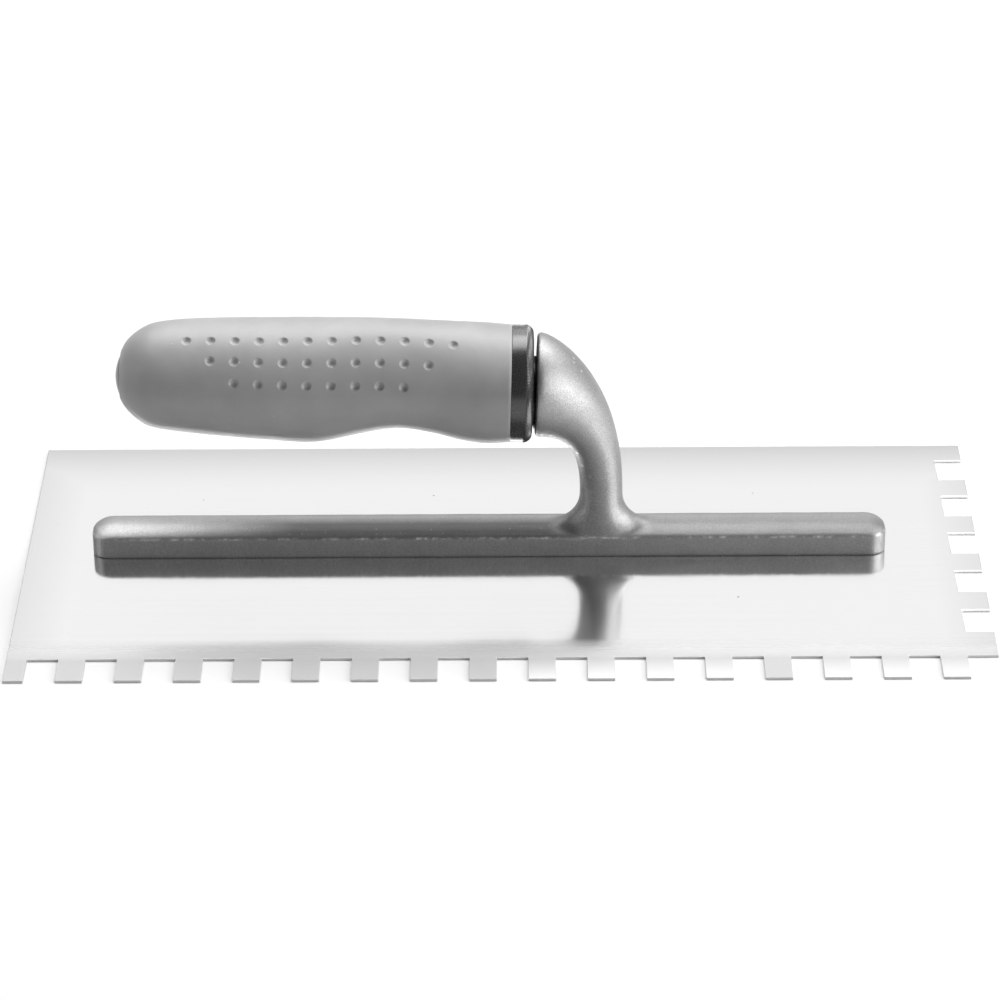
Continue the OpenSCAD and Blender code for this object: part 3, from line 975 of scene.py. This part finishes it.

# %% [markdown]
# ## Blasted cast aluminium
#
# The casting is blasted with fine grit, which leaves a bright, even grain of about a third of a millimetre.
# The grain changes the colour, the roughness and, with a finer one under it, the relief. Slow clouds grey
# it a little, and edges that stand proud are rubbed smoother and lighter; their lighter colour is also a
# painted highlight on the edges.

# %% Casting: metal, grain and wear
GRAIN_SCALE, FINER_SCALE = 3400.0, 5200.0
cast_aluminium, tree, shader, where = start_material("blasted_aluminium")
shader.inputs["Metallic"].default_value = 1.0
position = coordinates(tree, where)
grain = effect(tree, grain_group, where, Scale=GRAIN_SCALE)["Grain"]
finer = effect(tree, grain_group, where, Scale=FINER_SCALE)["Grain"]
cloud = effect(tree, mottle_group, where, Scale=110.0)["Mottle"]
wear = effect(tree, wear_group, where, Start=0.53, Full=0.60)["Wear"]
metal = blend_colour(tree, ramp(tree, grain, 0.3, 0.6), 0.31, 0.45)
metal = blend_colour(tree, ramp(tree, cloud, 0, 1, 0.0, 0.35), metal, 0.31)
# rubbed edges, painted lighter: partly wear, partly a painted highlight on the edges
metal = blend_colour(tree, maths(tree, "MULTIPLY", wear, 0.8), metal, 0.82)
dull = maths(tree, "ADD", ramp(tree, grain, 0.3, 0.6, 0.60, 0.50), ramp(tree, wear, 0, 1, 0.0, -0.12))
wire(tree, dull, shader.inputs["Roughness"])
fine_relief = relief(tree, finer, 0.03 * MM, 0.5)
wire(tree, relief(tree, grain, 0.09 * MM, 0.6, fine_relief), shader.inputs["Normal"])
print("casting: grain of about", round(1 / GRAIN_SCALE / MM, 1), "mm")

# %% [markdown]
# ### Painted shade under the handle, on the bar
#
# Under the handle the bar's top is painted dark: painted shadow of the handle and a painted dark reflection
# of it. It is a product of masks: where the top is, in front of the ridge, away from the neck's foot, and
# under the handle, fading out towards the left end and mostly gone to the right of the neck.

# %% Casting: painted shade of the handle
HANDLE_SHADE_LOW, HANDLE_SHADE_HIGH = (6.3 * MM, 8.1 * MM), (9.3 * MM, 12.5 * MM)    # heights where it comes and goes
HANDLE_SHADE_LEFT, HANDLE_SHADE_RIGHT = (-104 * MM, -58 * MM), (24 * MM, 42 * MM)
HANDLE_SHADE_RIDGE = (-3 * MM, 1.2 * MM)    # from behind the ridge, where it is faint, to in front of it
HANDLE_SHADE_NECK = (5 * MM, 15 * MM)       # distances from the neck's middle
on_top = maths(tree, "MULTIPLY", ramp(tree, position["Z"], *HANDLE_SHADE_LOW),
               ramp(tree, position["Z"], *HANDLE_SHADE_HIGH, 1.0, 0.0))
to_front = maths(tree, "SUBTRACT", bar_line, position["Y"])
on_top = maths(tree, "MULTIPLY", on_top, ramp(tree, to_front, *HANDLE_SHADE_RIDGE, 0.12, 1.0))
from_neck = distance_from(tree, position["X"], NECK_X)
on_top = maths(tree, "MULTIPLY", on_top, ramp(tree, from_neck, *HANDLE_SHADE_NECK, 0.1, 1.0))
under_handle = maths(tree, "SUBTRACT", ramp(tree, position["X"], *HANDLE_SHADE_LEFT, 0.0, 0.92),
                     ramp(tree, position["X"], *HANDLE_SHADE_RIGHT, 0.0, 0.32))
# painted shadow and reflection of the handle on the bar's top
metal = blend_colour(tree, maths(tree, "MULTIPLY", on_top, under_handle), metal, 0.06)
print("handle_shade: full from", round(HANDLE_SHADE_LEFT[1] / MM), "to", round(HANDLE_SHADE_RIGHT[0] / MM), "mm along the bar")

# %% [markdown]
# ### Painted highlight on the parting line, and pits
#
# The two halves of the mould met just under the bar's upper edge. A bright broken line is painted there, a
# painted highlight along the parting line. Small dark pits lie all over the casting.

# %% Casting: painted highlight on the parting line, and pits
PARTING_HIGHLIGHT_HEIGHT = 6.9 * MM
PARTING_HIGHLIGHT_WIDTH = (0.05 * MM, 0.45 * MM)    # from its middle: fully bright, gone
pits = effect(tree, speck_group, where, Scale=900.0, Size=0.2)["Specks"]
broken = effect(tree, mottle_group, where, Scale=520.0)["Mottle"]
seam = ramp(tree, distance_from(tree, position["Z"], PARTING_HIGHLIGHT_HEIGHT), *PARTING_HIGHLIGHT_WIDTH, 0.85, 0.0)
seam = maths(tree, "MULTIPLY", seam, ramp(tree, broken, 0.45, 0.95))
# painted highlight along the parting line
metal = blend_colour(tree, seam, metal, 0.85)
wire(tree, blend_colour(tree, maths(tree, "MULTIPLY", pits, 0.5), metal, 0.3), shader.inputs["Base Color"])
give(cast_aluminium, mounting)

# %% [markdown]
# ## Soft grey elastomer
#
# The grip is matt, with a faint cloudiness from the moulding and from handling, a very fine grain that
# breaks up any highlight, and a few pale specks of dust. Its crown is painted paler than the flanks, as
# painted light from above. The change follows the height above the blade, over the crown's last centimetre.

# %% Material: grip
CROWN_PAINTED_LIGHT = (58 * MM, 72 * MM)         # heights from the flank's tone to the crown's
grip_rubber, tree, shader, where = start_material("grey_elastomer")
cloud = effect(tree, mottle_group, where, Scale=70.0)["Mottle"]
broad = effect(tree, mottle_group, where, Scale=24.0)["Mottle"]
grain = effect(tree, grain_group, where, Scale=3800.0)["Grain"]
specks = effect(tree, speck_group, where, Scale=210.0, Size=0.06)["Specks"]
position = coordinates(tree, where)
flank = blend_colour(tree, cloud, 0.19, 0.25)
crown = blend_colour(tree, cloud, 0.40, 0.49)
# painted light: the crown is painted paler than the flanks
rubber = blend_colour(tree, ramp(tree, position["Z"], *CROWN_PAINTED_LIGHT), flank, crown)
rubber = blend_colour(tree, maths(tree, "MULTIPLY", broad, 0.3), rubber, 0.30)
rubber = blend_colour(tree, ramp(tree, grain, 0.3, 0.6, 0.0, 0.18), rubber, 0.31)
rubber = blend_colour(tree, maths(tree, "MULTIPLY", specks, 0.6), rubber, 0.62)
wire(tree, rubber, shader.inputs["Base Color"])
wire(tree, ramp(tree, cloud, 0, 1, 0.42, 0.52), shader.inputs["Roughness"])
shader.inputs["Specular IOR Level"].default_value = 0.6
fine_relief = relief(tree, grain, 0.02 * MM, 0.35)
wire(tree, relief(tree, cloud, 0.06 * MM, 0.4, fine_relief), shader.inputs["Normal"])
give(grip_rubber, grip)

# %% [markdown]
# ## Hard dark plastic
#
# Collar and plug are moulded in near-black plastic with a satin face. Edges are rubbed paler, a few specks
# of grey dust lie in the fine grain, and the uppermost millimetre of the collar is painted paler, a
# painted highlight along its top.

# %% Material: core and plug
COLLAR_TOP_HIGHLIGHT = (67.9 * MM, 69.0 * MM)    # heights from plain to the painted highlight
core_plastic, tree, shader, where = start_material("dark_hard_plastic")
cloud = effect(tree, mottle_group, where, Scale=160.0)["Mottle"]
grain = effect(tree, grain_group, where, Scale=4200.0)["Grain"]
wear = effect(tree, wear_group, where, Start=0.52, Full=0.62)["Wear"]
specks = effect(tree, speck_group, where, Scale=500.0, Size=0.08)["Specks"]
position = coordinates(tree, where)
plastic = blend_colour(tree, cloud, 0.020, 0.034)
# painted highlight on the uppermost millimetre of the collar
plastic = blend_colour(tree, ramp(tree, position["Z"], *COLLAR_TOP_HIGHLIGHT, 0.0, 0.9), plastic, 0.17)
plastic = blend_colour(tree, maths(tree, "MULTIPLY", wear, 0.35), plastic, 0.11)
plastic = blend_colour(tree, maths(tree, "MULTIPLY", specks, 0.4), plastic, 0.2)
wire(tree, plastic, shader.inputs["Base Color"])
wire(tree, ramp(tree, grain, 0.3, 0.6, 0.32, 0.22), shader.inputs["Roughness"])
shader.inputs["Specular IOR Level"].default_value = 0.8
wire(tree, relief(tree, grain, 0.02 * MM, 0.4), shader.inputs["Normal"])
give(core_plastic, core, plug)

# %% [markdown]
# ## Ground aluminium
#
# The rivets are soft aluminium ground together with the blade, so they carry straight grinding lines,
# coarser than the blade's own, and a few deeper scratches that are darker.

# %% Material: rivets
rivet_aluminium, tree, shader, where = start_material("ground_aluminium")
shader.inputs["Metallic"].default_value = 1.0
strokes = effect(tree, scratch_group, where, Along=40.0, Across=3600.0, Share=0.42)
cloud = effect(tree, mottle_group, where, Scale=400.0)["Mottle"]
metal = blend_colour(tree, cloud, 0.58, 0.70)
wire(tree, blend_colour(tree, maths(tree, "MULTIPLY", strokes["Scratches"], 0.4), metal, 0.42),
     shader.inputs["Base Color"])
wire(tree, ramp(tree, strokes["Lines"], 0.3, 0.7, 0.30, 0.42), shader.inputs["Roughness"])
wire(tree, relief(tree, strokes["Lines"], 0.01 * MM, 0.5), shader.inputs["Normal"])
give(rivet_aluminium, *rivets)

# %% [markdown]
# ## Zinc plated steel
#
# Rod, washer and nut are zinc plated: greyish, slightly cloudy, with a spangle, which is the pattern of the
# zinc's crystals. The cells of a Voronoi texture are that pattern. The three are hidden inside the handle,
# so they stay as their CAD solids and only get the finish.

# %% Material: rod, washer and nut
ZINC_LIGHT, ZINC_MIDDLE, ZINC_DARK = (0.66, 0.67, 0.68), (0.55, 0.57, 0.60), (0.48, 0.50, 0.53)
zinc_steel, tree, shader, where = start_material("zinc_plated_steel")
shader.inputs["Metallic"].default_value = 1.0
spangle = node(tree, "ShaderNodeTexVoronoi", {"Scale": 900.0})
wire(tree, where, spangle.inputs["Vector"])
cloud = effect(tree, mottle_group, where, Scale=300.0)["Mottle"]
grain = effect(tree, grain_group, where, Scale=3000.0)["Grain"]
tint = node(tree, "ShaderNodeSeparateColor")
wire(tree, spangle.outputs["Color"], tint.inputs["Color"])
metal = blend_colour(tree, cloud, ZINC_MIDDLE, ZINC_LIGHT)
metal = blend_colour(tree, maths(tree, "MULTIPLY", tint.outputs["Red"], 0.3), metal, ZINC_DARK)
wire(tree, metal, shader.inputs["Base Color"])
wire(tree, ramp(tree, cloud, 0, 1, 0.28, 0.42), shader.inputs["Roughness"])
wire(tree, relief(tree, grain, 0.01 * MM, 0.4), shader.inputs["Normal"])
fastenings = [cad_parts[name] for name in ("tang_rod", "rod_washer", "rod_nut")]
for fastening in fastenings:
    fastening.data.materials.clear()
give(zinc_steel, *fastenings)

# %% [markdown]
# ## Floor
#
# The tool lies on a plain pale floor, a twentieth of a millimetre under it so that the two never fight for
# the same place. A trace of glow stands for the light that a white room throws back.

# %% Floor
FLOOR_REACH = 4                     # metres, from the middle to an edge
FLOOR_DROP = 0.05 * MM
floor_bm = bmesh.new()
bmesh.ops.create_grid(floor_bm, x_segments=1, y_segments=1, size=FLOOR_REACH)
bmesh.ops.translate(floor_bm, vec=(0, 0, -FLOOR_DROP), verts=floor_bm.verts)
floor_mesh = bpy.data.meshes.new("floor")
floor_bm.to_mesh(floor_mesh)
floor_bm.free()
floor = bpy.data.objects.new("floor", floor_mesh)
bpy.context.scene.collection.objects.link(floor)
floor_paint, tree, shader, where = start_material("pale_floor")
shader.inputs["Base Color"].default_value = (0.73, 0.73, 0.73, 1)
shader.inputs["Roughness"].default_value = 0.9
shader.inputs["Specular IOR Level"].default_value = 0.1
shader.inputs["Emission Color"].default_value = (1, 1, 1, 1)
shader.inputs["Emission Strength"].default_value = 0.06
give(floor_paint, floor)

# %% [markdown]
# ## Light
#
# The light is that of a small studio. A large soft panel above and behind lights the crown of the handle and
# the floor. A softer one stands low on the right and models the neck. A broad panel far behind the table has
# one work: it is mirrored in the blade and the bar, which would be black without it. A small weak one at
# the left lifts the bar's left end. The world adds a little even light from everywhere.

# %% World
WORLD_STRENGTH = 0.09
world = bpy.data.worlds.new("studio")
bpy.context.scene.world = world
world.use_nodes = True
background = world.node_tree.nodes["Background"]
background.inputs["Color"].default_value = (1, 1, 1, 1)
background.inputs["Strength"].default_value = WORLD_STRENGTH
print("world:", WORLD_STRENGTH)


# %% Lights
def panel(name, place, aim, size, watts):
    """A soft rectangular light; places, aims and sizes are in metres."""
    data = bpy.data.lights.new(name, "AREA")
    data.shape = "RECTANGLE"
    data.size, data.size_y = size
    data.energy = watts
    light = bpy.data.objects.new(name, data)
    bpy.context.scene.collection.objects.link(light)
    light.location = place
    light.rotation_euler = (Vector(aim) - Vector(place)).to_track_quat("-Z", "Y").to_euler()
    print(f"{name}: {watts} W, {size[0]} m by {size[1]} m")


panel("panel_above", (0.4, 0.85, 1.7), (0.4, 0, 0), (3.4, 1.2), 66)
panel("panel_right", (1.5, -0.6, 0.45), (0.02, 0, 0.03), (1.5, 0.9), 25)
panel("panel_behind", (0, 2.3, 1.36), (0, 0, 0), (5.0, 0.85), 11.6)
panel("panel_left", (-0.5, -0.12, 0.16), (-0.11, -0.12, 0.01), (0.2, 0.2), 0.24)

# %% [markdown]
# ## Camera
#
# The camera stands in front of the tool, about 29 degrees above the floor and a good metre away, with a long
# lens, which keeps the far edge of the blade nearly as long as the near one.

# %% Camera
LENS = 149.41                       # millimetres, as the sensor's width
SENSOR = 36
CAMERA_PLACE = (0.00603, -1.01705, 0.5915)    # metres
YAW, PITCH, ROLL = (math.radians(v) for v in (-0.375, 29.355, -0.463))
camera_data = bpy.data.cameras.new("camera")
camera_data.lens = LENS
camera_data.sensor_width = SENSOR
camera = bpy.data.objects.new("camera", camera_data)
bpy.context.scene.collection.objects.link(camera)
level = Matrix.Rotation(-YAW, 4, "Z") @ Matrix.Rotation(QUARTER_TURN - PITCH, 4, "X")
turn = level @ Matrix.Rotation(ROLL, 4, "Z")
turn.translation = CAMERA_PLACE
camera.matrix_world = turn
bpy.context.scene.camera = camera
bpy.context.scene.view_settings.view_transform = "Standard"
print("camera at", [round(v, 3) for v in turn.translation])
